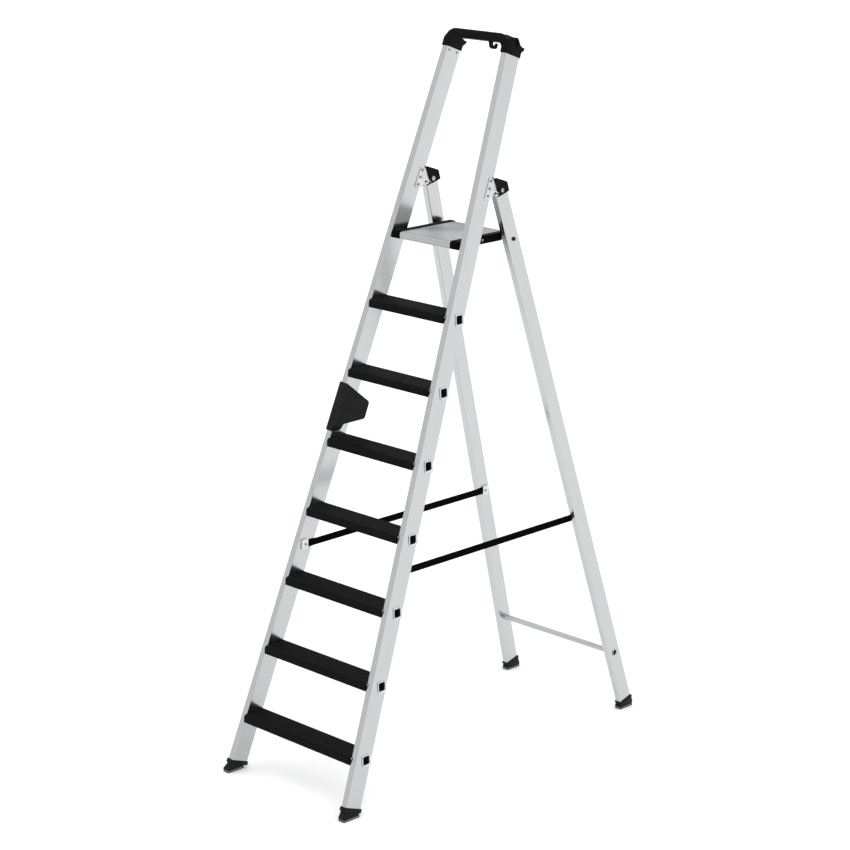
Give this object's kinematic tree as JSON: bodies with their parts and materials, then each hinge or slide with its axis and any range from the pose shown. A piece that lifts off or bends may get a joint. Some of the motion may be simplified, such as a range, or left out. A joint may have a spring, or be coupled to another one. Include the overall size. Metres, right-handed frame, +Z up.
{
  "type": "step ladder",
  "caption": "Folding aluminium step ladder with black tread covers, a fold-up standing platform, hinged rear legs, retaining straps and a moulded top cap with tool tray.",
  "frame": {"origin": "on the floor, at the centre of the footprint of the open ladder", "axes": "+X is the climber's right, +Y runs from the climbing side to the rear legs, +Z is up; metres"},
  "size_m": [0.6166, 1.4772, 2.5213],
  "materials": {
    "anodised_section": "satin anodised extrusion",
    "step_aluminium": "mill finish extrusion",
    "tread_plastic": "ribbed moulded tread cover",
    "moulded_plastic": "fine grained moulding",
    "hinge_plate": "blanked plate, satin",
    "fixings": "zinc plated",
    "black_fixings": "black coated",
    "shoe_plastic": "moulded",
    "sole_rubber": "ribbed sole",
    "clip_aluminium": "folded clip",
    "webbing": "woven webbing",
    "deck_aluminium": "ribbed extrusion",
    "side_plastic": "moulded side"
  },
  "bodies": {
    "front_section": {"stile_left": "anodised_section", "stile_right": "anodised_section", "step_profile_1": "step_aluminium", "step_profile_2": "step_aluminium", "step_profile_3": "step_aluminium", "step_profile_4": "step_aluminium", "step_profile_5": "step_aluminium", "step_profile_6": "step_aluminium", "step_profile_7": "step_aluminium", "tread_cover_1": "tread_plastic", "tread_cover_2": "tread_plastic", "tread_cover_3": "tread_plastic", "tread_cover_4": "tread_plastic", "tread_cover_5": "tread_plastic", "tread_cover_6": "tread_plastic", "tread_cover_7": "tread_plastic", "top_cap": "moulded_plastic", "cap_rivets": "fixings", "hinge_plate_outer_left": "hinge_plate", "hinge_plate_outer_right": "hinge_plate", "hinge_plate_inner_left": "hinge_plate", "hinge_plate_inner_right": "hinge_plate", "hinge_rivets": "fixings", "hinge_bolts": "fixings", "carry_grip": "moulded_plastic", "grip_screws": "black_fixings", "front_shoe_left": "shoe_plastic", "front_shoe_right": "shoe_plastic", "front_sole_left": "sole_rubber", "front_sole_right": "sole_rubber", "strap_front_clips": "clip_aluminium", "strap_front_rivets": "fixings", "platform_pivots": "fixings", "strap_left": "webbing", "strap_right": "webbing"},
    "rear_section": {"rear_leg_left": "anodised_section", "rear_leg_right": "anodised_section", "rear_cap_left": "moulded_plastic", "rear_cap_right": "moulded_plastic", "rear_brace": "step_aluminium", "rear_shoe_left": "shoe_plastic", "rear_shoe_right": "shoe_plastic", "rear_sole_left": "sole_rubber", "rear_sole_right": "sole_rubber", "strap_rear_clips": "clip_aluminium", "strap_rear_rivets": "fixings", "platform_rest_bolts": "black_fixings"},
    "platform": {"platform_deck": "deck_aluminium", "platform_side_left": "side_plastic", "platform_side_right": "side_plastic", "platform_rivets": "fixings"}
  },
  "joints": [
    {"name": "rear_fold", "type": "hinge", "parent": "front_section", "child": "rear_section", "pos_m": [0, 0.14122, 2.0034], "axis": [-1, 0, 0], "range_deg": [0, 36.58], "deforming": ["strap_left", "strap_right"]},
    {"name": "platform_tilt", "type": "hinge", "parent": "front_section", "child": "platform", "pos_m": [0, -0.01936, 1.8299], "axis": [1, 0, 0], "range_deg": [0, 69.33]}
  ],
  "couplings": [
    {"joint": "platform_tilt", "follows": "rear_fold", "ratio": 1.895}
  ]
}
